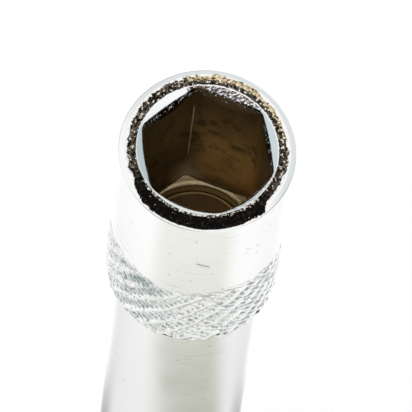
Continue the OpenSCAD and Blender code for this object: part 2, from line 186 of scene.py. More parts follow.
# Marks of this tool, and where light and shade are painted on it.
# Angles run round the axis from +X, and a facing is the cosine of the turn from one.
NICK_ANGLE = math.radians(-98.7)
NICK_HEIGHT = Z_TIP - 4.5
NICK_REACH = 0.085
NICK_FALL = -2.3
# How far below the nick its painted highlight lies.
NICK_HIGHLIGHT_DROP = 0.26
# A patch of painted shade on the knurl: its middle and half sizes.
SIDE_SHADE_ANGLE = math.radians(-136)
SIDE_SHADE_HEIGHT = Z_TIP - 9.5
SIDE_SHADE_HALF_ANGLE = 0.30
SIDE_SHADE_HALF_HEIGHT = 1.2
# Angles on the front left where the painted shadows of the dashes also lie outside the hollows.
DASH_SHADOW_ANGLES = (-2.1, -2.5)
BURNT_R = 4.28
BURNT_FADE_END = 0.15
BURNT_FADE = 0.25
WIDE_RIM_ANGLE = math.radians(-106.3)
WIDE_RIM_FACING = (0.5, 0.72)
WIDE_RIM_EXTRA = 0.36
GLINT_ANGLE = math.radians(47)
FLAT_FACING = (0.84, 0.89)
# Flats whose crescents of the flare carry painted shade, and how strongly.
SHADED_FLATS = {60: 0.95, -60: 0.45}
# The flat over which the painted shade low on the flare is brown.
BROWN_SHADE_FLAT = 60
BACK_CORNER = math.radians(90)
# Where a pool of gold light is painted low on the socket's walls.
GOLD_LIGHT_ANGLE = math.radians(48)

# Pointer of the selector and the three places it clicks into.
LINE_WIDTH = 1.1
CLICKS = [math.radians(angle) for angle in (-120, -90, -60)]
POINTER_SPAN = (bottom("selector_ring") + 0.3, top("selector_ring") - 0.8)
INDEX_SPAN = (Z_FRONT - 4.2, Z_FRONT - 1.6)

# Camera, from the photo. The pixel is where the centre of the mouth lies.
IMAGE_SIZE = 412
MOUTH_PIXEL = (207.6, 149.2)
VIEW_AZIMUTH = math.radians(-16.3)
VIEW_ELEVATION = math.radians(64.82)
VIEW_ROLL = math.radians(8.1)
VIEW_DISTANCE = 349.4
LENS = 576.1
SENSOR = 36

# Floor and light. The reaches are how far from the tool the floor changes, as polished metal shows it.
FLOOR_HALF = 30000
FLOOR_GAP = 0.3
FOOT_REACH = (83.0, 86.4)
FRONT_REACH = (96.2, 98.5)
FAR_REACH = (160, 400)
FLOOR_GLOW = 0.385
SURROUND_STRENGTH = 0.45
LAMP_STRENGTH = 1.25
LAMP_SPREAD = math.radians(40)
LAMP_TILT = (math.radians(25), math.radians(-19), 0)

# Colours of the bar, the socket and the magnet.
WHITE = (1.0, 1.0, 1.0)
CHROME = (0.94, 0.94, 0.935)
CHROME_EDGE = (0.88, 0.89, 0.89, 1)
CHROME_DULL = (0.93, 0.94, 0.93)
SCRATCH_SOIL = (0.34, 0.33, 0.29)
KNURL_SHADE = (0.36, 0.38, 0.37)
PIT_SOIL = (0.10, 0.10, 0.09)
KNURL_SIDE_SHADE = (0.40, 0.48, 0.48)
SOOT = (0.006, 0.005, 0.005)
CHAR = (0.06, 0.04, 0.024)
ASH = (0.23, 0.185, 0.135)
GREY_GLINT = (0.55, 0.52, 0.48)
GOLD_GLINT = (0.66, 0.50, 0.28)
CREAM_GLINT = (1.0, 0.94, 0.82)
FLARE_PLATE = (0.95, 0.96, 0.97)
FLARE_SIDE_REFLECTION = (0.60, 0.67, 0.71)
FLARE_SHADE = (0.045, 0.034, 0.02)
FLARE_BROWN_SHADE = (0.13, 0.085, 0.038)
WALL_DARK = (0.11, 0.064, 0.021)
WALL_BROWN = (0.36, 0.22, 0.075)
WALL_GOLD_LIGHT = (1.0, 0.57, 0.17)
WALL_SHADE = (0.03, 0.019, 0.008)
CORNER_LINE = (0.95, 0.85, 0.66)
CORNER_LEDGE_REFLECTION = (0.95, 0.72, 0.42)
LEDGE_BROWN = (0.27, 0.20, 0.11)
LEDGE_BRINK_HIGHLIGHT = (0.60, 0.50, 0.30)
BORE_GOLD_LIGHT = (0.85, 0.58, 0.20)
MAGNET_DARK = (0.07, 0.052, 0.027)
MAGNET_PALE = (0.18, 0.135, 0.07)
MAGNET_EDGE_HIGHLIGHT = (1.0, 0.82, 0.52)

# Colours of the handle.
RED = (0.42, 0.05, 0.04)
RED_WORN = (0.50, 0.10, 0.08)
PRINT_WHITE = (0.80, 0.80, 0.78)

# Colours of the light and of the floor, which polished metal shows brighter and darker than its paper.
SURROUND = (0.97, 0.98, 1.0, 1)
SURROUND_DIM = (0.77, 0.81, 0.81)
PAPER = (0.88, 0.88, 0.875, 1)
FLOOR_OPEN = (1.12, 1.12, 1.12)
FLOOR_NEAR = (0.95, 0.95, 0.95)
# The painted shadow in front, as metal shows the floor, away from and near the tool.
FRONT_OPEN = (0.95, 0.96, 0.90)
FRONT_NEAR = (0.565, 0.57, 0.50)
# Painted light behind the tool, and painted contact shade on its flanks, as metal shows the floor.
FLOOR_BEHIND = (1.2, 1.2, 1.21)
FLOOR_FLANK = (0.52, 0.53, 0.50)
FAR_DARK = (0.48, 0.51, 0.52)
FAR_PALE = (0.95, 0.97, 0.97)


# Values in node trees.
class Value:
    """An output in a node tree. Sums with it add Math nodes to the tree."""

    def __init__(self, socket):
        self.socket = socket

    def __add__(self, other):
        return maths("ADD", self, other)

    def __sub__(self, other):
        return maths("SUBTRACT", self, other)

    def __rsub__(self, other):
        return maths("SUBTRACT", other, self)

    def __mul__(self, other):
        return maths("MULTIPLY", self, other)

    def __truediv__(self, other):
        return maths("DIVIDE", self, other)

    def __rtruediv__(self, other):
        return maths("DIVIDE", other, self)

    def __abs__(self):
        return maths("ABSOLUTE", self)


def put(tree, kind, inputs=None, **settings):
    """A node with its settings, and each input set to a constant or linked to a value."""
    node = tree.nodes.new(kind)
    for name, value in settings.items():
        setattr(node, name, value)
    for name, value in (inputs or {}).items():
        if isinstance(value, Value):
            tree.links.new(value.socket, node.inputs[name])
        else:
            node.inputs[name].default_value = value
    return node


def outputs_of(node):
    return {socket.name: Value(socket) for socket in node.outputs}


def made(kind, inputs, output=0, **settings):
    """One output of a new node, in the tree that its inputs come from."""
    tree = next(value.socket.id_data for value in inputs.values() if isinstance(value, Value))
    return Value(put(tree, kind, inputs, **settings).outputs[output])


def maths(operation, *values, clamp=False):
    return made("ShaderNodeMath", dict(enumerate(values)), operation=operation, use_clamp=clamp)


def largest(first, *others):
    for other in others:
        first = maths("MAXIMUM", first, other)
    return first


def smaller(first, second):
    return maths("MINIMUM", first, second)


def root(value):
    return maths("SQRT", value)


def cosine(angle):
    return maths("COSINE", angle)


def sine(angle):
    return maths("SINE", angle)


def share_between(value, low, high):
    """0 at low, 1 at high, and straight between them."""
    return made("ShaderNodeMapRange", {"Value": value, "From Min": low, "From Max": high})


def ramp(value, low, high):
    """0 at low, 1 at high, and smooth between them. Low may be the larger one."""
    inputs = {"Value": value, "From Min": low, "From Max": high}
    return made("ShaderNodeMapRange", inputs, interpolation_type="SMOOTHSTEP")


def spread(value, low, high):
    """A value from 0 to 1 spread from low to high."""
    return made("ShaderNodeMapRange", {"Value": value, "To Min": low, "To Max": high})


def tint(mask, first, second):
    """The first colour where the mask is 0 and the second where it is 1."""
    first, second = (c if isinstance(c, Value) else (*c, 1) for c in (first, second))
    return made("ShaderNodeMix", {0: mask, 6: first, 7: second}, 2, data_type="RGBA")


def layered(colour, *coats):
    """A colour with coats over it, each with the mask that shows where it lies."""
    for mask, coat in coats:
        colour = tint(mask, colour, coat)
    return colour


def axes_of(vector):
    node = put(vector.socket.id_data, "ShaderNodeSeparateXYZ", {0: vector})
    return [Value(socket) for socket in node.outputs]


def vector_of(x, y, z=0.0):
    return made("ShaderNodeCombineXYZ", {0: x, 1: y, 2: z})


def stretched(vector, factors):
    return made("ShaderNodeVectorMath", {0: vector, 1: factors}, operation="MULTIPLY")


def dot(vector, way):
    return made("ShaderNodeVectorMath", {0: vector, 1: way}, "Value", operation="DOT_PRODUCT")


def cloud(place, scale, detail=2.0, roughness=0.5):
    """Soft noise round 0.5. The scale is in features to each unit of the place."""
    inputs = {"Vector": place, "Scale": scale, "Detail": detail, "Roughness": roughness}
    return made("ShaderNodeTexNoise", inputs)


def bump(height, strength, distance):
    return made("ShaderNodeBump", {"Height": height, "Strength": strength, "Distance": distance * MM})


# Shared effects.
def new_group(name, inputs, outputs):
    """An empty shader group with its sockets, and the values it is given."""
    tree = bpy.data.node_groups.new(name, "ShaderNodeTree")
    for socket, value in inputs.items():
        added = tree.interface.new_socket(socket, in_out="INPUT", socket_type="NodeSocketFloat")
        added.default_value = value
    for socket, kind in outputs.items():
        tree.interface.new_socket(socket, in_out="OUTPUT", socket_type="NodeSocket" + kind)
    return tree, outputs_of(put(tree, "NodeGroupInput"))


def finish_group(tree, **values):
    put(tree, "NodeGroupOutput", values)
    return tree


def placed(tree, group, **inputs):
    """The outputs of a group, placed in a tree with its own values."""
    return outputs_of(put(tree, "ShaderNodeGroup", inputs, node_tree=group))


def make_round_place():
    """Where a point lies round the axis: its place in millimetres, radius, angle and height."""
    outputs = {"Place": "Vector", "Radius": "Float", "Angle": "Float", "Height": "Float"}
    tree, _ = new_group("round_place", {}, outputs)
    point = outputs_of(put(tree, "ShaderNodeTexCoord"))["Object"]
    place = stretched(point, (1 / MM,) * 3)
    x, y, z = axes_of(place)
    radius = root(x * x + y * y)
    return finish_group(tree, Place=place, Radius=radius, Angle=maths("ARCTAN2", y, x), Height=z)


def make_turned_marks():
    """Fine rings that a lathe or a polishing belt leaves round the axis, and where they are deepest."""
    outputs = {"Height": "Float", "Scratch": "Float"}
    tree, given = new_group("turned_marks", {"Fineness": 12, "Length": 0.25}, outputs)
    flat = vector_of(given["Length"], given["Length"], given["Fineness"])
    streaks = cloud(stretched(placed(tree, ROUND_PLACE)["Place"], flat), 1.0, 3.0, 0.6)
    return finish_group(tree, Height=streaks, Scratch=ramp(streaks, 0.62, 0.72))


def make_pits():
    """Small dents and specks, spread at random."""
    tree, given = new_group("pits", {"Density": 1.5, "Size": 0.12}, {"Mask": "Float"})
    inputs = {"Vector": placed(tree, ROUND_PLACE)["Place"], "Scale": given["Density"]}
    cells = outputs_of(put(tree, "ShaderNodeTexVoronoi", inputs))
    chosen = made("ShaderNodeSeparateColor", {0: cells["Color"]})
    gap = cells["Distance"] - (chosen - 0.55) * given["Size"]
    return finish_group(tree, Mask=ramp(gap, 0.04, -0.02))


def make_grain():
    """Fine moulded, cast or ground grain with cloudy patches, for colour, roughness and relief."""
    outputs = {"Fine": "Float", "Patches": "Float"}
    tree, given = new_group("grain", {"Fineness": 6, "Patch": 0.3}, outputs)
    place = placed(tree, ROUND_PLACE)["Place"]
    fine = cloud(place, given["Fineness"], 3.0, 0.6)
    patches = cloud(place, given["Patch"], 4.0, 0.55)
    return finish_group(tree, Fine=fine, Patches=patches)


ROUND_PLACE = make_round_place()
TURNED_MARKS = make_turned_marks()
PITS = make_pits()
GRAIN = make_grain()


# Materials.
def shader_input(material, name):
    return material.node_tree.nodes["Principled BSDF"].inputs[name.replace("_", " ")]


def new_material(name, **constants):
    """A material and its tree, with what is the same all over set on its shader."""
    material = bpy.data.materials.new(name)
    material.use_nodes = True
    for socket, value in constants.items():
        shader_input(material, socket).default_value = value
    return material, material.node_tree


def finish(material, colour, roughness, relief, **others):
    """The material, with its colour, roughness, relief and other values linked to its shader."""
    values = {"Base_Color": colour, "Roughness": roughness, "Normal": relief, **others}
    for socket, value in values.items():
        material.node_tree.links.new(value.socket, shader_input(material, socket))
    return material


def make_chrome_bar():
    """Bright plating with fine rings from polishing, specks and one nick under the mouth."""
    material, tree = new_material("chrome_bar", Metallic=1.0, Specular_Tint=CHROME_EDGE)
    spot = placed(tree, ROUND_PLACE)
    height = spot["Height"]
    marks = placed(tree, TURNED_MARKS, Fineness=9.0, Length=0.35)
    pits = placed(tree, PITS, Density=1.7, Size=0.4)["Mask"]
    grain = placed(tree, GRAIN, Fineness=5.0, Patch=0.35)

    above_band = ramp(height, Z_KNURL_TOP + 3.4, Z_KNURL_TOP + 0.8)
    below_band = ramp(height, Z_SHOULDER - 4.0, Z_SHOULDER - 1.0)
    scratches = marks["Scratch"] * spread(above_band * below_band, 0.25, 0.6)

    off = spot["Angle"] - NICK_ANGLE
    rise = height - (off * NICK_FALL + NICK_HEIGHT)
    along = ramp(abs(off), NICK_REACH, NICK_REACH * 0.8)
    nick = along * ramp(abs(rise), 0.11, 0.03)
    # Painted highlight: a white line just below the nick.
    nick_highlight = along * ramp(abs(rise + NICK_HIGHLIGHT_DROP), 0.13, 0.04)

    colour = layered(CHROME, (largest(pits * 0.4, scratches, nick), SCRATCH_SOIL), (nick_highlight, WHITE))
    rough = largest(spread(grain["Patches"], 0.05, 0.16), nick_highlight * 0.6)
    return finish(material, colour, rough, bump(marks["Height"] - pits, 0.12, 0.01))


def make_chrome_knurl():
    """Knurl plating: soil and painted shade in the hollows, dark pits low down, a patch of painted shade."""
    material, tree = new_material("chrome_knurl", Metallic=1.0, Specular_Tint=CHROME_EDGE)
    spot = placed(tree, ROUND_PLACE)
    angle, height = spot["Angle"], spot["Height"]
    hollow = outputs_of(put(tree, "ShaderNodeAttribute", attribute_name="hollow"))["Fac"]
    grain = placed(tree, GRAIN, Fineness=7.0, Patch=0.6)
    pits = placed(tree, PITS, Density=2.5, Size=1.7)["Mask"]
    spoiled = maths("MULTIPLY", hollow, spread(grain["Fine"], 0.1, 1.5), clamp=True)

    arc = angle * HEAD_R
    slope = KNURL_LEAN * RUNG_FALL
    across = (height * slope + arc) * 1.6
    along = arc * slope - height
    # Painted shadows: short dark dashes across the lanes, in the hollows and over angles on the front left.
    dash_shadows = ramp(cloud(vector_of(across, along), 1.9, 3.0, 0.65), 0.52, 0.60)
    dash_shadows = dash_shadows * largest(ramp(hollow, 0.2, 0.5), ramp(angle, *DASH_SHADOW_ANGLES))

    # Painted shade: a grey-green patch on the front left of the knurl, broken up by grain.
    turn = (angle - SIDE_SHADE_ANGLE) / SIDE_SHADE_HALF_ANGLE
    rise = (height - SIDE_SHADE_HEIGHT) / SIDE_SHADE_HALF_HEIGHT
    side_shade = ramp(root(turn * turn + rise * rise), 1.1, 0.2) * ramp(grain["Fine"], 0.3, 0.6)

    low = ramp(height, Z_SHOULDER + 0.9, Z_SHOULDER + 0.4)
    colour = layered(
        CHROME,
        (spoiled, CHROME_DULL),
        # Painted shade in the hollows of the knurl.
        (ramp(hollow, 0.45, 0.9) * 0.45, KNURL_SHADE),
        (dash_shadows * 0.9, KNURL_SHADE),
        (side_shade, KNURL_SIDE_SHADE),
        (pits * largest(low, ramp(hollow, 0.6, 0.9)), PIT_SOIL),
    )
    return finish(material, colour, spread(spoiled, 0.08, 0.35), bump(grain["Fine"], 0.1, 0.05))


def make_burnt_rim():
    """The end of the bar: lumpy, burnt nearly black, with gold glints and a ragged edge to the plating."""
    material, tree = new_material("burnt_rim", Metallic=1.0, Specular_Tint=CHROME_EDGE)
    spot = placed(tree, ROUND_PLACE)
    place, radius, angle = spot["Place"], spot["Radius"], spot["Angle"]
    crumbs = cloud(place, 6.0, 3.0, 0.6) - 0.5
    lumps = cloud(place, 1.7, 3.0, 0.6) - 0.5
    facing = cosine(angle - WIDE_RIM_ANGLE)
    near = cosine(angle - GLINT_ANGLE)
    wide = ramp(facing, *WIDE_RIM_FACING)
    outside = ramp(radius, 3.95, 4.2)

    ragged = (crumbs * 0.22 + lumps * 0.55) * spread(ramp(facing, 0.74, 0.92), 1.0, 0.2)
    outer = wide * WIDE_RIM_EXTRA + BURNT_R + ramp(facing, -0.5, -1.0) * 0.08
    over = radius - (outer + ragged)
    under = crumbs * 0.1 + (MOUTH_R + 0.04) - radius
    plated = ramp(largest(over, under), -0.02, 0.03)

    mottle = ramp(cloud(place, 5.2, 4.0, 0.6), 0.42, 0.60) * spread(outside, 0.55, 0.9)
    mottle = mottle * ramp(facing, 0.7, 0.2) * spread(ramp(near, -0.2, 0.3), 0.9, 0.6)

    glints = cloud(vector_of(angle * 13.0, radius * 3.6), 1.7, 4.0, 0.65)
    rich = near * 0.01 + ramp(facing, 0.8, 0.2) * 0.09
    rich = rich + outside * ramp(near, 0.4, 0.85) * 0.13
    rich = rich + ramp(radius, 4.05, 3.9) * wide * 0.18
    pale = tint(ramp(near, -0.4, 0.4), GREY_GLINT, GOLD_GLINT)
    bright = tint(ramp(glints, 0.53, 0.60), pale, CREAM_GLINT)

    colour = layered(
        SOOT,
        (ramp(crumbs, 0.0, 0.3), CHAR),
        (mottle, ASH),
        (ramp(rich + glints, 0.66, 0.695), bright),
        (plated, CHROME),
    )
    relief = bump((crumbs + lumps) * (1 - plated), 0.7, 0.15)
    return finish(material, colour, spread(plated, 0.4, 0.08), relief)


def on_flat(angle, degrees):
    """1 over the flat of the socket that faces an angle in degrees, and 0 past its corners."""
    return ramp(cosine(angle - math.radians(degrees)), *FLAT_FACING)


def make_lead_in():
    """Flare of the mouth: plated, painted reflection at the sides, painted shade on two crescents and low
    down.
    """
    material, tree = new_material("lead_in")
    spot = placed(tree, ROUND_PLACE)
    place, angle = spot["Place"], spot["Angle"]
    depth = Z_TIP - spot["Height"]
    crumbs = cloud(place, 6.0, 4.0, 0.6)
    fibres = cloud(stretched(place, (1.2, 2.6, 2.0)), 4.5, 3.0, 0.7)

    # Painted reflection: pale blue-grey on the crescents at the left and right.
    side = ramp(abs(cosine(angle)), 0.84, 0.9)
    # Painted shade on two crescents, broken by bright scratches.
    flat_shade = largest(*(on_flat(angle, flat) * share for flat, share in SHADED_FLATS.items()))
    flat_shade = flat_shade * (1 - ramp(fibres, 0.50, 0.56) * 0.95)
    flecks = ramp(crumbs, 0.55, 0.62) * ramp(depth, 0.9, 0.6)
    corner = ramp(cosine(angle - BACK_CORNER), 0.985, 0.995)
    # Painted shade low on the flare, away from the front, and in the back corner, with the flecks left out.
    low = largest(ramp(crumbs * 0.2 + depth, 0.33, 0.45), corner) * (1 - flecks)
    low = low * ramp(sine(angle), -0.5, -0.3)
    # The painted shade is brown over the flat at 60 degrees.
    brown_shade = low * on_flat(angle, BROWN_SHADE_FLAT)

    # All painted shade of the flare: the two crescents and the low zone.
    burnt = largest(flat_shade, low)
    colour = layered(FLARE_PLATE, (side, FLARE_SIDE_REFLECTION), (burnt, FLARE_SHADE), (brown_shade, FLARE_BROWN_SHADE))
    metal = 1 - largest(flecks * ramp(depth, 0.15, 0.3), brown_shade * 0.6)
    return finish(material, colour, spread(crumbs, 0.06, 0.3), bump(crumbs, 0.3, 0.05), Metallic=metal)


def make_socket_wall():
    """Socket walls and floor: brown oil and oxide over steel, with painted gold light low on one side."""
    material, tree = new_material("socket_wall")
    spot = placed(tree, ROUND_PLACE)
    place, angle, height = spot["Place"], spot["Angle"], spot["Height"]
    depth = Z_TIP - height
    corner = abs(angle - BACK_CORNER)
    crumbs = cloud(place, 5.0, 3.0, 0.6)
    stains = cloud(place, 0.4, 2.0, 0.5)
    streaks = cloud(stretched(place, (2.0, 2.0, 0.25)), 1.0, 3.0, 0.6)

    # Painted light: a pool of gold light low on the back right walls, broken up by the stain pattern.
    gold_light = ramp(cosine(angle - GOLD_LIGHT_ANGLE), 0.72, 0.95) * ramp(stains, 0.24, 0.46)
    gold_light = gold_light * spread(ramp(depth, 3.5, 9.0), 0.12, 1.0)
    deep_gold_light = gold_light * ramp(depth, 5.0, 8.0)
    mottle = ramp(cloud(place, 0.9, 4.0, 0.65), 0.48, 0.64) * spread(deep_gold_light, 0.7, 0.25)
    under = ramp(depth, SOCKET_DEPTH - 1.5, SOCKET_DEPTH - 0.4) * ramp(corner, 0.05, 0.35)
    line = ramp(corner, 0.010, 0.003) * ramp(depth, 1.8, 3.0) * ramp(depth, 9.0, 7.5)
    # Painted reflection of the gold ledge on the walls just above it, near the back corner.
    ledge_reflection = ramp(depth, SOCKET_DEPTH - 3.0, SOCKET_DEPTH) * ramp(corner, 0.42, 0.05)
    ledge = ramp(height, Z_FLOOR + 0.3, Z_FLOOR + 0.05)
    # Painted highlight along the inner edge of the ledge.
    brink_highlight = ledge * ramp(abs(spot["Radius"] - (BORE_R + 0.14)), 0.16, 0.06)
    # Painted light on the bore wall below the ledge, which lies in shadow.
    bore = ramp(height, Z_FLOOR - 0.05, Z_FLOOR - 0.15)

    colour = layered(
        WALL_DARK,
        (streaks, WALL_BROWN),
        (gold_light, WALL_GOLD_LIGHT),
        (largest(ramp(depth, 5.0, 0.8) * 0.7, mottle, under * 0.6), WALL_SHADE),
        (line, CORNER_LINE),
        (ledge_reflection, CORNER_LEDGE_REFLECTION),
        (ledge, LEDGE_BROWN),
        (brink_highlight, LEDGE_BRINK_HIGHLIGHT),
        (bore, BORE_GOLD_LIGHT),
    )
    metal = largest(spread(gold_light, 0.55, 0.6), ledge) * spread(bore, 1.0, 0.2)
    return finish(material, colour, spread(crumbs, 0.28, 0.5), bump(crumbs, 0.25, 0.05), Metallic=metal)


def make_magnet_face():
    """Plated disc, dulled by swarf and oil, with a painted highlight along its edge."""
    material, tree = new_material("magnet_face", Metallic=0.9)
    radius = placed(tree, ROUND_PLACE)["Radius"]
    grain = placed(tree, GRAIN, Fineness=4.0, Patch=0.5)
    # Painted highlight along the edge of the chamfer.
    edge = ramp(abs(radius - (MAGNET_R - MAGNET_CHAMFER)), 0.12, 0.03)
    colour = layered(MAGNET_DARK, (grain["Patches"], MAGNET_PALE), (edge * 0.5, MAGNET_EDGE_HIGHLIGHT))
    return finish(material, colour, spread(grain["Fine"], 0.3, 0.55), bump(grain["Fine"], 0.2, 0.04))


def make_metal(name, colour, shadow, roughness, fineness=6.0, turned=0.0):
    """A plain metal: ground, cast, drawn or turned."""
    material, tree = new_material(name, Metallic=1.0)
    grain = placed(tree, GRAIN, Fineness=fineness, Patch=0.25)
    marks = placed(tree, TURNED_MARKS, Fineness=7.0, Length=0.08)
    shade = tint(grain["Patches"], shadow, colour)
    rough = spread(grain["Fine"], roughness * 0.75, roughness * 1.25)
    return finish(material, shade, rough, bump(marks["Height"] * turned + grain["Fine"], 0.25, 0.03))


def make_plastic(name, colour, pale, roughness, fineness, relief):
    """A moulding: rubber or hard plastic, with its texture, handling marks and faint dust."""
    material, tree = new_material(name)
    grain = placed(tree, GRAIN, Fineness=fineness, Patch=0.12)
    specks = placed(tree, PITS, Density=0.35, Size=0.5)["Mask"] * 0.6
    shade = tint(largest(ramp(grain["Patches"], 0.5, 0.8), specks), colour, pale)
    rough = spread(grain["Patches"], roughness * 0.85, roughness * 1.15)
    return finish(material, shade, rough, bump(grain["Fine"] - specks, relief, 0.05))


def print_lines(material, angles, span, taper):
    """White lines along the outside of a moulding. The taper is the share of their width at the low end."""
    tree = material.node_tree
    paint = shader_input(material, "Base_Color")
    plain = Value(paint.links[0].from_socket)
    spot = placed(tree, ROUND_PLACE)
    angle, height = spot["Angle"], spot["Height"]
    low, high = span
    half = spread(share_between(height, low, high), LINE_WIDTH / 2 * taper, LINE_WIDTH / 2)
    gaps = [half - abs((angle - middle) * spot["Radius"]) for middle in angles]
    mask = largest(*(ramp(gap, -0.02, 0.02) for gap in gaps))
    mask = mask * maths("GREATER_THAN", height, low) * maths("LESS_THAN", height, high)
    worn = ramp(placed(tree, GRAIN, Fineness=2.0, Patch=1.0)["Fine"], 0.28, 0.36)
    tree.links.new(tint(mask * worn, plain, PRINT_WHITE).socket, paint)


MATERIALS = {
    "chrome_bar": make_chrome_bar(),
    "chrome_knurl": make_chrome_knurl(),
    "burnt_rim": make_burnt_rim(),
    "lead_in": make_lead_in(),
    "socket_wall": make_socket_wall(),
    "magnet": make_magnet_face(),
    "tool_steel": make_metal("ground_steel", (0.52, 0.52, 0.53), (0.40, 0.40, 0.40), 0.28),
    "spring_steel": make_metal("drawn_wire", (0.62, 0.63, 0.65), (0.50, 0.51, 0.53), 0.22),
    "plated_steel": make_metal("zinc_plate", (0.66, 0.66, 0.63), (0.54, 0.54, 0.50), 0.32),
    "bush_bronze": make_metal("oiled_bronze", (0.64, 0.46, 0.23), (0.48, 0.33, 0.15), 0.36),
    "cast_alloy": make_metal("cast_alloy", (0.54, 0.54, 0.55), (0.42, 0.42, 0.43), 0.5, 3.0),
    "satin_alloy": make_metal("satin_alloy", (0.66, 0.66, 0.67), (0.56, 0.56, 0.57), 0.34, 5.0, 2.0),
    "seal_rubber": make_plastic("seal_rubber", (0.02, 0.02, 0.02), (0.05, 0.05, 0.05), 0.6, 5.0, 0.3),
    "selector_plastic": make_plastic("selector_red", RED, RED_WORN, 0.45, 4.0, 0.35),
    "core_plastic": make_plastic("core_charcoal", (0.10, 0.105, 0.11), (0.16, 0.165, 0.17), 0.32, 3.0, 0.12),
    "grip_rubber": make_plastic("grip_black", (0.022, 0.022, 0.024), (0.06, 0.06, 0.06), 0.72, 5.0, 0.6),
    "cap_plastic": make_plastic("cap_red", RED, RED_WORN, 0.3, 3.0, 0.12),
}
print_lines(MATERIALS["selector_plastic"], CLICKS[:1], POINTER_SPAN, 0.2)
print_lines(MATERIALS["core_plastic"], CLICKS, INDEX_SPAN, 1.0)


# Meshes.
def add_object(name, data):
    thing = bpy.data.objects.new(name, data)
    bpy.context.scene.collection.objects.link(thing)
    return thing


def new_piece(name, points, faces, slots, face_slots=None):
    """A mesh object at the origin, from points in millimetres."""
    mesh = bpy.data.meshes.new(name)
    mesh.from_pydata([tuple(c * MM for c in p) for p in points], [], faces)
    for slot in slots:
        mesh.materials.append(MATERIALS[slot])
    if face_slots:
        mesh.polygons.foreach_set("material_index", face_slots)
    mesh.shade_smooth()
    return add_object(name, mesh)


def lathe(name, rows, segments, slots, closed=False):
    """Rings round the axis, joined in turn. A row is a slot and a rule from an angle to radius and height.

    The rows run with the solid on their left. A row of radius 0 is a pole. A closed piece joins its last
    row to its first.
    """
    points, loops = [], []
    for _, rule in rows:
        loop = []
        for i in range(segments):
            angle = TURN * i / segments
            radius, height = rule(angle)
            if radius == 0 and loop:
                continue
            loop.append(len(points))
            points.append((radius * math.cos(angle), radius * math.sin(angle), height))
        loops.append(loop)
    faces, face_slots = [], []
    pairs = list(zip(rows, loops, loops[1:] + loops[:1]))
    for (slot, _), low, high in pairs if closed else pairs[:-1]:
        for i in range(segments):
            j = (i + 1) % segments
            if len(low) == 1:
                faces.append((low[0], high[j], high[i]))
            elif len(high) == 1:
                faces.append((low[i], low[j], high[0]))
            else:
                faces.append((low[i], low[j], high[j], high[i]))
            face_slots.append(slots.index(slot))
    return new_piece(name, points, faces, slots, face_slots)


def ring(slot, radius, height):
    return slot, lambda angle: (radius, height)


def crisp(piece, degrees):
    """Keeps the edges that turn by more than an angle sharp, and the rest smooth."""
    piece.data.set_sharp_from_angle(angle=math.radians(degrees))


def clamped(share):
    return min(1.0, max(0.0, share))


def wave(first, last, share):
    """A smooth half wave from first to last as the share goes from 0 to 1."""
    return first + (last - first) * (1 - math.cos(math.pi * share)) / 2


def steps(first, last, count):
    return [first + (last - first) * i / count for i in range(count + 1)]


# Geometry nodes.
def new_rule(name, inputs):
    """An empty geometry tree, the values it is given, and where a point lies round the axis."""
    tree = bpy.data.node_groups.new(name, "GeometryNodeTree")
    sockets = {"Geometry": "Geometry", **dict.fromkeys(inputs, "Float"), "Finish": "Material"}
    for socket, kind in sockets.items():
        tree.interface.new_socket(socket, in_out="INPUT", socket_type="NodeSocket" + kind)
    tree.interface.new_socket("Geometry", in_out="OUTPUT", socket_type="NodeSocketGeometry")
    place = outputs_of(put(tree, "GeometryNodeInputPosition"))["Position"]
    x, y, z = axes_of(place)
    flat = vector_of(x, y)
    spot = {
        "Place": place,
        "Radius": made("ShaderNodeVectorMath", {0: flat}, "Value", operation="LENGTH"),
        "Angle": maths("ARCTAN2", y, x),
        "Height": z,
        "Outward": made("ShaderNodeVectorMath", {0: flat}, operation="NORMALIZE"),
    }
    return tree, outputs_of(put(tree, "NodeGroupInput")), spot


def end_rule(tree, given, geometry, chosen=True):
    """Closes a tree: realized, with its finish, and sent to the output."""
    real = made("GeometryNodeRealizeInstances", {0: geometry})
    inputs = {"Geometry": real, "Selection": chosen, "Material": given["Finish"]}
    put(tree, "NodeGroupOutput", {0: made("GeometryNodeSetMaterial", inputs)})
    return tree


def push_out(geometry, outward, distance, chosen=True):
    """Moves the chosen points away from the axis."""
    offset = made("ShaderNodeVectorMath", {0: outward, "Scale": distance}, operation="SCALE")
    return made("GeometryNodeSetPosition", {"Geometry": geometry, "Selection": chosen, "Offset": offset})


def cut_outside(tree, given, spot, distance):
    """Closes a tree that moves the points marked as outside away from the axis."""
    mark = put(tree, "GeometryNodeInputNamedAttribute", {"Name": "outside"}, data_type="FLOAT")
    moved = push_out(given["Geometry"], spot["Outward"], distance * Value(mark.outputs[0]))
    return end_rule(tree, given, moved)


def ridge(phase, width):
    """1 on the round top of a ridge, where the phase is whole, falling to 0 at a share of the pitch."""
    off = maths("PINGPONG", phase, 0.5) / width
    return maths("SUBTRACT", 1.0, off * off, clamp=True)


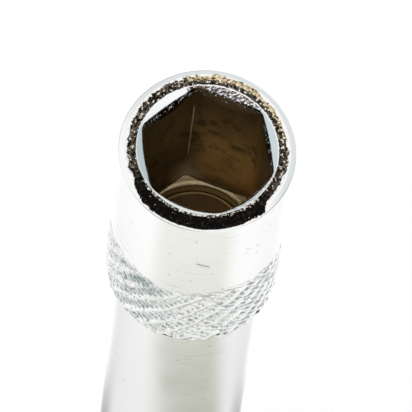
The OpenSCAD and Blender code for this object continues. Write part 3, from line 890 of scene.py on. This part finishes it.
def make_knurl_rule():
    """Raised lines that rise round a band and fade in places, with shorter lines across their lanes."""
    names = ("Low end", "High end", "Inner radius", "Ridges", "Cuts", "Lean", "Depth")
    tree, given, spot = new_rule("crossed_knurl", names)
    radius = spot["Radius"]
    above = spot["Height"] - given["Low end"]
    below = given["High end"] - spot["Height"]
    inside = maths("GREATER_THAN", smaller(above, below), 0.0)
    inside = inside * maths("GREATER_THAN", radius, given["Inner radius"])

    uneven = cloud(spot["Place"], 1.1 / MM) - 0.5
    turn = spot["Angle"] / TURN
    climb = above * given["Lean"] / (radius * TURN)
    rising = ridge(uneven * 0.2 + (turn - climb) * given["Ridges"], RIDGE_WIDTH)
    rising = maths("MULTIPLY", rising, uneven * 2.2 + 0.95, clamp=True)
    fall = climb * CUT_FALL + turn
    falling = ridge(uneven * 0.3 + fall * given["Cuts"], CUT_WIDTH)
    rungs = (climb * RUNG_FALL + turn) * (given["Cuts"] * RUNGS_PER_CUT)
    rungs = ridge(uneven * 0.5 + rungs, RUNG_WIDTH)

    lane = fall * TURN
    worn = cloud(vector_of(cosine(lane), sine(lane), above * 60.0), 15.0, 3.0) - 0.5
    cells = worn * 0.5 + maths("SMOOTH_MAX", falling * 0.4, rungs * 0.8, 0.1)
    crest = largest(smaller(maths("SMOOTH_MAX", rising, cells, 0.12), 1.0), 0.0)
    upper = share_between(worn * (1.6 * MM) + below, 0.0, 0.7 * MM)
    lower = share_between(above, 0.0, 0.2 * MM)
    hollow = (1 - crest) * smaller(upper, lower)
    pressed = push_out(given["Geometry"], spot["Outward"], hollow * given["Depth"] * -1.0, inside)
    inputs = {"Geometry": pressed, "Name": "hollow", "Value": hollow * inside}
    marked = made("GeometryNodeStoreNamedAttribute", inputs, data_type="FLOAT", domain="POINT")
    return end_rule(tree, given, marked, inside)


def make_flute_rule():
    """Long hollows whose axes stand round the axis of the piece, cut with soft edges."""
    names = ("Count", "First angle", "Hollow radius", "Axis distance", "High end", "Run out", "Softness")
    tree, given, spot = new_rule("long_flutes", names)
    radius = spot["Radius"]
    pitch = TURN / given["Count"]
    share = (spot["Angle"] - given["First angle"]) / pitch
    off = (share - maths("ROUND", share)) * pitch
    side = given["Axis distance"] * sine(off)
    room = given["Hollow radius"] * given["Hollow radius"] - side * side
    wall = given["Axis distance"] * cosine(off) - root(largest(room, 0.0))
    wall = wall + largest(room * -1.0, 0.0) / MM
    cut = maths("SMOOTH_MIN", radius, wall, given["Softness"])
    full = ramp(given["High end"] - spot["Height"], 0.0, given["Run out"])
    return cut_outside(tree, given, spot, (cut - radius) * full)


def make_groove_rule():
    """Round grooves in a row along the axis."""
    names = ("First height", "Pitch", "Count", "Groove radius", "Lift", "Softness")
    tree, given, spot = new_rule("ring_grooves", names)
    share = (spot["Height"] - given["First height"]) / given["Pitch"]
    nearest = smaller(largest(maths("ROUND", share), 0.0), given["Count"] - 1.0)
    off = (share - nearest) * given["Pitch"]
    room = given["Groove radius"] * given["Groove radius"] - off * off
    sunk = given["Lift"] - root(largest(room, 0.0))
    return cut_outside(tree, given, spot, maths("SMOOTH_MIN", sunk, 0.0, given["Softness"]))


def make_coil_rule():
    """Round wire wound into a coil."""
    tree, given, _ = new_rule("wound_wire", ("Turns", "Coil radius", "Wire radius", "Length"))
    inputs = {"Resolution": COIL_STEPS, "Rotations": given["Turns"], "Height": given["Length"]}
    inputs.update({end: given["Coil radius"] for end in ("Start Radius", "End Radius")})
    path = made("GeometryNodeCurveSpiral", inputs)
    inputs = {"Resolution": WIRE_SIDES, "Radius": given["Wire radius"]}
    section = made("GeometryNodeCurvePrimitiveCircle", inputs)
    inputs = {"Curve": path, "Profile Curve": section, "Fill Caps": True}
    return end_rule(tree, given, made("GeometryNodeCurveToMesh", inputs))


KNURL_RULE = make_knurl_rule()
FLUTE_RULE = make_flute_rule()
GROOVE_RULE = make_groove_rule()
COIL_RULE = make_coil_rule()


def apply_rule(piece, tree, slot, **values):
    """Runs a geometry tree on a piece and keeps the result as its plain mesh."""
    modifier = piece.modifiers.new(tree.name, "NODES")
    modifier.node_group = tree
    wanted = {name.replace("_", " "): value for name, value in values.items()}
    wanted["Finish"] = MATERIALS[slot]
    for socket in tree.interface.items_tree:
        if socket.in_out == "INPUT" and socket.name in wanted:
            modifier[socket.identifier] = wanted[socket.name]
    evaluated = piece.evaluated_get(bpy.context.evaluated_depsgraph_get())
    result = bpy.data.meshes.new_from_object(evaluated)
    plain = piece.data
    piece.modifiers.clear()
    piece.data = result
    result.name = piece.name
    bpy.data.meshes.remove(plain)


# Bar.
def hexagon(angle):
    """Distance from the axis to a wall of the socket, with its corners a little rounded."""
    off = (angle + SIXTH / 2) % SIXTH - SIXTH / 2
    return min(SOCKET_WIDTH / 2 / math.cos(off), SOCKET_CORNER_R)


def seat_row(height):
    """A ring of the gear seat, with its two flats."""
    def rule(angle):
        across = abs(math.cos(angle))
        return min(SEAT_R, SEAT_FLAT / max(across, 0.1)), height
    return "chrome_bar", rule


def rim_drop(radius):
    """How far the rounded end lies below the tip at a radius."""
    outer = max(0.0, (radius - RIM_R) / (HEAD_R - RIM_R))
    inner = max(0.0, (MOUTH_R + MOUTH_EDGE - radius) / MOUTH_EDGE)
    return RIM_DROP * (1 - math.sqrt(max(0.0, 1 - outer ** 2))) + MOUTH_DROP * inner ** 2


def burnt_edge(angle):
    """Distance from the axis to the outer edge of the burnt part, which is wide at the front."""
    narrow, wide = WIDE_RIM_FACING
    share = (math.cos(angle - WIDE_RIM_ANGLE) - narrow) / (wide - narrow)
    return BURNT_R + WIDE_RIM_EXTRA * clamped(share)


def rim_row(radius):
    """A ring of the end, with lumps and pits on its burnt part that fade out at both edges."""
    def rule(angle):
        fade_in = (radius - MOUTH_R) / MOUTH_EDGE
        fade_out = (burnt_edge(angle) + BURNT_FADE_END - radius) / BURNT_FADE
        place = Vector((radius * math.cos(angle), radius * math.sin(angle), 0))
        lumps = 0.5 + 0.5 * noise.fractal(place * RIM_LUMPS_PER_MM, 0.8, 2.1, 4)
        relief = RIM_RELIEF * clamped(min(fade_in, fade_out)) * clamped(lumps)
        return radius, Z_TIP - rim_drop(radius) - relief
    return "burnt_rim", rule


def flare_depth(wall):
    """How far below the mouth the flare meets a wall of the socket."""
    return (MOUTH_R - wall) / MOUTH_SLOPE


def rounded(share, slope, power):
    """A curve from 0 to 1 that starts with a slope and gets steeper and steeper."""
    return slope * share + (1 - slope) * share ** power


def lead_in_row(share):
    """A ring of the flare, from the mouth at 0 to the walls at 1: rounded, and more sharply at the back."""
    soft = rounded(share, *FLARE_FRONT)
    sharp = rounded(share, *FLARE_BACK)

    def rule(angle):
        wall = hexagon(angle)
        front = clamped((-math.sin(angle) - 0.25) / 0.3)
        drop = flare_depth(wall) * (front * soft + (1 - front) * sharp)
        return MOUTH_R + (wall - MOUTH_R) * share, Z_TIP - MOUTH_DROP - drop
    return "lead_in", rule


def wall_row(share):
    """A ring of the socket's walls, from the flare at 0 to the floor at 1."""
    def rule(angle):
        wall = hexagon(angle)
        depth = MOUTH_DROP + flare_depth(wall)
        return wall, Z_TIP - depth - (SOCKET_DEPTH - depth) * share
    return "socket_wall", rule


def ledge_row(share):
    """A ring of the ledge round the magnet, which slopes down from the walls at 0 to the bore at 1."""
    def rule(angle):
        inner = BORE_R + LEDGE_EDGE
        outer = hexagon(angle) - LEDGE_FOOT
        radius = outer + (inner - outer) * share
        return radius, Z_FLOOR + (radius - inner) * LEDGE_SLOPE
    return "socket_wall", rule


def bar_rows():
    """The bar from its journal up over the shaft and the head to the rim, and down into the socket."""
    foot = [(0, Z_JOURNAL), (JOURNAL_R - JOURNAL_CHAMFER, Z_JOURNAL)]
    foot += [(JOURNAL_R, Z_JOURNAL + JOURNAL_CHAMFER), (JOURNAL_R, Z_SEAT)]
    shaft = [(SHAFT_R, z) for z in steps(Z_SHAFT, Z_SHOULDER - 0.4, 6)]
    shaft += [(SHAFT_R + out, Z_SHOULDER + up) for out, up in SHAFT_FILLET]
    head = [(HEAD_R + out, Z_SHOULDER + up) for out, up in HEAD_EDGE]
    head += [(HEAD_R, z) for z in steps(Z_SHOULDER + 0.3, Z_KNURL_TOP + 0.1, 100)]
    head += [(HEAD_R, z) for z in steps(Z_KNURL_TOP + 0.2, Z_TIP - 0.6, 8)]
    z_magnet = bottom("socket_magnet")

    rows = [ring("chrome_bar", r, z) for r, z in foot]
    rows += [seat_row(z) for z in (Z_SEAT, Z_GROOVE)]
    rows += [ring("chrome_bar", GROOVE_R, z) for z in (Z_GROOVE, Z_GEAR)]
    rows += [seat_row(z) for z in (Z_GEAR, Z_SHAFT)]
    rows += [ring("chrome_bar", r, z) for r, z in shaft + head]
    rows += [ring("burnt_rim", HEAD_R, z) for z in steps(Z_TIP - 0.45, Z_TIP - RIM_DROP - 0.05, 3)]
    rows += [rim_row(r) for r in steps(HEAD_R, MOUTH_R, 26)]
    rows += [lead_in_row(1 - (1 - t) ** 2) for t in steps(0.03, 1, 14)]
    rows += [wall_row(t) for t in steps(0.02, 0.98, 11)]
    rows += [ledge_row(t) for t in (0, 0.5, 1)]
    bore = [(BORE_R, Z_FLOOR - LEDGE_EDGE), (BORE_R, z_magnet), (0, z_magnet)]
    return rows + [ring("socket_wall", r, z) for r, z in bore]


def make_bar():
    slots = ["chrome_bar", "burnt_rim", "lead_in", "socket_wall"]
    bar = lathe("bit_holder_bar", bar_rows(), BAR_SEGMENTS, slots)
    apply_rule(bar, KNURL_RULE, "chrome_knurl", Low_end=Z_SHOULDER * MM, High_end=Z_KNURL_TOP * MM,
               Inner_radius=KNURL_INNER_R * MM, Ridges=KNURL_RIDGES, Cuts=KNURL_CUTS, Lean=KNURL_LEAN,
               Depth=KNURL_DEPTH * MM)
    crisp(bar, 38)
    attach(bar, "shaft")
    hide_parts("bit_holder_shaft")


def make_magnet():
    """A disc with a chamfered edge, at the bottom of the socket."""
    low, high = bottom("socket_magnet"), top("socket_magnet")
    outline = [(0, low), (MAGNET_R, low), (MAGNET_R, high - MAGNET_CHAMFER)]
    outline += [(MAGNET_R - MAGNET_CHAMFER, high), (0, high)]
    disc = lathe("bit_magnet", [ring("magnet", r, z) for r, z in outline], MAGNET_SEGMENTS, ["magnet"])
    crisp(disc, 30)
    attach(disc, "shaft")
    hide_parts("socket_magnet")


# Pawl springs.
def make_pawl_spring(name, node, angle, start):
    """A coil from the back of a pawl to the wall of its pocket, and the two ends of its axis in metres."""
    coil = new_piece(name, [], [], ["spring_steel"])
    apply_rule(coil, COIL_RULE, "spring_steel", Turns=COIL_TURNS, Coil_radius=COIL_R * MM,
               Wire_radius=WIRE_R * MM, Length=(POCKET_R - start - 2 * WIRE_R) * MM)
    out = Vector((math.cos(angle), math.sin(angle), 0))
    level = Vector((0, 0, (bottom(node) + top(node)) / 2 * MM))
    turned = out.to_track_quat("Z", "Y").to_matrix().to_4x4()
    coil.data.transform(Matrix.Translation(out * (start + WIRE_R) * MM + level) @ turned)
    crisp(coil, 40)
    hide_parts(node)
    return coil, out * start * MM + level, out * POCKET_R * MM + level


def make_pawl_springs():
    """Fixed coils; in the tool one is squeezed as the selector turns and the other follows its pawl inwards.
    """
    coil, near, far = make_pawl_spring("forward_coil", "forward_pawl_spring", -SPRING_ANGLE, FREE_START)
    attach(coil, "handle")
    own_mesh(coil)
    coil, near, far = make_pawl_spring("reverse_coil", "reverse_pawl_spring", SPRING_ANGLE, PRESSED_START)
    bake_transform(coil)


# Handle.
def handle_r(z):
    """Radius of the handle: a round back, a waist and a guard in front."""
    if z < Z_BULGE:
        return BULGE_R - (BULGE_R - BACK_R) * ((Z_BULGE - z) / (Z_BULGE - Z_CAP)) ** 2
    if z < Z_WAIST:
        return wave(BULGE_R, WAIST_R, (z - Z_BULGE) / (Z_WAIST - Z_BULGE))
    return wave(WAIST_R, GUARD_R, (z - Z_WAIST) / (Z_GUARD - Z_WAIST))


def mark_outside(piece, test):
    """Marks the points that lie on the outside, where hollows and grooves are cut."""
    attribute = piece.data.attributes.new("outside", "FLOAT", "POINT")
    for point, value in zip(piece.data.vertices, attribute.data):
        place = point.co / MM
        value.value = 1.0 if test(place.to_2d().length, place.z) else 0.0


def make_grip():
    """Soft sleeve with six finger hollows, a row of grooves and rounded ends."""
    slot = "grip_rubber"
    low, high = bottom("grip_sleeve"), top("grip_sleeve")

    def outer(z):
        end = max(0.0, 1 - min(z - low, high - z) / GRIP_END_LENGTH)
        return handle_r(z) - GRIP_SKIN - GRIP_END_DROP * (1 - math.sqrt(1 - end ** 2))

    *ends, last = GRIP_END_STEPS
    heights = [low + z for z in ends] + steps(low + last, high - last, 158) + [high - z for z in ends[::-1]]
    rows = [ring(slot, outer(z), z) for z in heights]
    rows += [ring(slot, handle_r(z) - GRIP_WALL + GRIP_PLAY, z) for z in steps(high, low, 26)]
    sleeve = lathe("soft_grip", rows, GRIP_SEGMENTS, [slot], closed=True)
    mark_outside(sleeve, lambda r, z: r > handle_r(z) - GRIP_WALL / 2)
    apply_rule(sleeve, GROOVE_RULE, slot, First_height=Z_FIRST_GROOVE * MM, Pitch=GROOVE_PITCH * MM,
               Count=GROOVE_COUNT, Groove_radius=GROOVE_CUT_R * MM, Lift=GROOVE_LIFT * MM,
               Softness=GROOVE_SOFTNESS * MM)
    apply_rule(sleeve, FLUTE_RULE, slot, Count=SCOOP_COUNT, First_angle=SIXTH / 2,
               Hollow_radius=SCOOP_R * MM, Axis_distance=SCOOP_AXIS * MM, High_end=Z_SCOOP_TOP * MM,
               Run_out=SCOOP_RUN_OUT * MM, Softness=SCOOP_SOFTNESS * MM)
    crisp(sleeve, 60)
    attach(sleeve, "handle")
    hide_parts("grip_sleeve")


def make_cap():
    """Domed cap that stands on a flat, with its plug in the back of the handle."""
    slot = "cap_plastic"
    outline = [(0, 0), (FOOT_R * 0.6, 0)]
    for turn in steps(0, math.pi / 2, 24):
        outline.append((FOOT_R + (BACK_R - FOOT_R) * math.sin(turn), Z_CAP * (1 - math.cos(turn))))
    z_plug = Z_CAP + PLUG_LENGTH
    outline += [(PLUG_R, Z_CAP), (PLUG_R, z_plug - PLUG_CHAMFER)]
    outline += [(PLUG_R - PLUG_CHAMFER, z_plug), (0, z_plug)]
    cap = lathe("domed_cap", [ring(slot, r, z) for r, z in outline], CAP_SEGMENTS, [slot])
    crisp(cap, 40)
    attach(cap, "handle")
    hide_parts("end_cap")


# Floor, light and camera.
def floor_in_mirror(tree):
    """The floor's painted reflection in metal: white, a warm grey painted shadow in front, and far bands."""
    spot = placed(tree, ROUND_PLACE)
    reach = spot["Radius"]
    ahead = dot(spot["Place"], (math.sin(VIEW_AZIMUTH), -math.cos(VIEW_AZIMUTH), 0))
    aside = dot(spot["Place"], (math.cos(VIEW_AZIMUTH), math.sin(VIEW_AZIMUTH), 0))
    angle = maths("ARCTAN2", aside, ahead)
    behind = abs(angle)

    # Painted shadow in front of the tool, darkest near it, seen only in metal.
    start, end = FRONT_REACH
    near = ramp(reach, end, start)
    shift = maths("MULTIPLY", end - reach, 50.0 * MM, clamp=True)
    front = ramp(abs(angle - shift), 1.08, 0.62)
    # Painted contact shade on the flanks by the foot, seen only in metal.
    start, end = FOOT_REACH
    foot = ramp(maths("GREATER_THAN", angle, 0.0) * -1.2 + reach, end, start)
    flank = ramp(behind, 1.75, 2.2) * ramp(behind, 2.85, 2.4)
    bands = sine(angle * 3.0) * 0.5 + 0.5
    return layered(
        FLOOR_OPEN,
        (near, FLOOR_NEAR),
        (front, tint(near, FRONT_OPEN, FRONT_NEAR)),
        # Painted light: brighter behind the tool.
        (ramp(behind, 2.1, 2.6), FLOOR_BEHIND),
        (foot * flank, FLOOR_FLANK),
        (ramp(reach, *FAR_REACH), tint(bands, FAR_DARK, FAR_PALE)),
    )


def make_stage():
    """A pale floor that shows white where it is open, and keeps the shadow of the tool."""
    mesh = bpy.data.meshes.new("studio_floor")
    half = FLOOR_HALF * MM
    corners = [(-half, -half, 0), (half, -half, 0), (half, half, 0), (-half, half, 0)]
    mesh.from_pydata(corners, [], [(0, 1, 2, 3)])
    floor = add_object("studio_floor", mesh)
    floor.location.z = -FLOOR_GAP * MM
    material = bpy.data.materials.new("studio_floor")
    material.use_nodes = True
    tree = material.node_tree
    tree.nodes.clear()
    paths = outputs_of(put(tree, "ShaderNodeLightPath"))
    paper = Value(put(tree, "ShaderNodeBsdfDiffuse", {"Color": PAPER}).outputs[0])
    direct = largest(paths["Is Camera Ray"], paths["Is Transmission Ray"])
    glow = made("ShaderNodeEmission", {"Strength": direct * FLOOR_GLOW})
    plain = made("ShaderNodeAddShader", {0: paper, 1: glow})
    # Polished metal sees a painted reflection of the floor instead of its paper.
    mirrored = made("ShaderNodeEmission", {"Color": floor_in_mirror(tree)})
    both = made("ShaderNodeMixShader", {0: paths["Is Glossy Ray"], 1: plain, 2: mirrored})
    put(tree, "ShaderNodeOutputMaterial", {"Surface": both})
    mesh.materials.append(material)


def make_light():
    """A broad soft light high in front on the left, and a pale surround, dimmer on one side in metal."""
    world = bpy.data.worlds.new("pale_surround")
    bpy.context.scene.world = world
    world.use_nodes = True
    tree = world.node_tree
    tree.nodes.clear()
    paths = outputs_of(put(tree, "ShaderNodeLightPath"))
    seen = largest(paths["Is Camera Ray"], paths["Is Glossy Ray"], paths["Is Transmission Ray"])
    inputs = {"Color": SURROUND, "Strength": SURROUND_STRENGTH}
    soft = Value(put(tree, "ShaderNodeBackground", inputs).outputs[0])
    way = outputs_of(put(tree, "ShaderNodeTexCoord"))["Generated"]
    ahead = dot(way, (math.cos(GLINT_ANGLE), math.sin(GLINT_ANGLE), 0))
    dim = ramp(ahead, 0.1, 0.5) * ramp(axes_of(way)[2], 0.92, 0.80) * paths["Is Glossy Ray"]
    white = made("ShaderNodeBackground", {"Color": tint(dim, WHITE, SURROUND_DIM)})
    mixed = made("ShaderNodeMixShader", {0: seen, 1: soft, 2: white})
    put(tree, "ShaderNodeOutputWorld", {"Surface": mixed})
    lamp = bpy.data.lights.new("window", "SUN")
    lamp.energy = LAMP_STRENGTH
    lamp.angle = LAMP_SPREAD
    light = add_object("window", lamp)
    light.rotation_euler = LAMP_TILT
    light.visible_glossy = False


def make_camera():
    """The view of the photo: from above the mouth, with the mouth on its own pixel."""
    level = Vector((math.cos(VIEW_AZIMUTH), math.sin(VIEW_AZIMUTH), 0))
    toward = Vector((math.sin(VIEW_AZIMUTH), -math.cos(VIEW_AZIMUTH), 0))
    back = toward * math.cos(VIEW_ELEVATION) + Vector((0, 0, math.sin(VIEW_ELEVATION)))
    above = back.cross(level)
    right = level * math.cos(VIEW_ROLL) + above * math.sin(VIEW_ROLL)
    up = above * math.cos(VIEW_ROLL) - level * math.sin(VIEW_ROLL)
    focal = LENS / SENSOR * IMAGE_SIZE
    shift_right = (MOUTH_PIXEL[0] - IMAGE_SIZE / 2) / focal
    shift_up = (IMAGE_SIZE / 2 - MOUTH_PIXEL[1]) / focal
    forward = (-back - right * shift_right - up * shift_up).normalized()
    right = forward.cross(up).normalized()
    up = right.cross(forward)
    data = bpy.data.cameras.new("photo_view")
    data.lens = LENS
    data.sensor_width = SENSOR
    camera = add_object("photo_view", data)
    turn = Matrix((right, up, -forward)).transposed()
    place = (Vector((0, 0, Z_TIP)) + back * VIEW_DISTANCE) * MM
    camera.matrix_world = Matrix.Translation(place) @ turn.to_4x4()
    bpy.context.scene.camera = camera


def dress_nodes():
    """The pieces that keep their CAD shape get the finish of their slot."""
    for part in frame["record"]["subparts"]:
        mesh = frame["nodes"][part["node"]].data
        mesh.materials.clear()
        mesh.materials.append(MATERIALS[part["material_slot"]])


bpy.context.scene.view_settings.view_transform = "Standard"
make_camera()
make_stage()
make_light()
dress_nodes()
make_bar()
make_magnet()
make_pawl_springs()
make_grip()
make_cap()
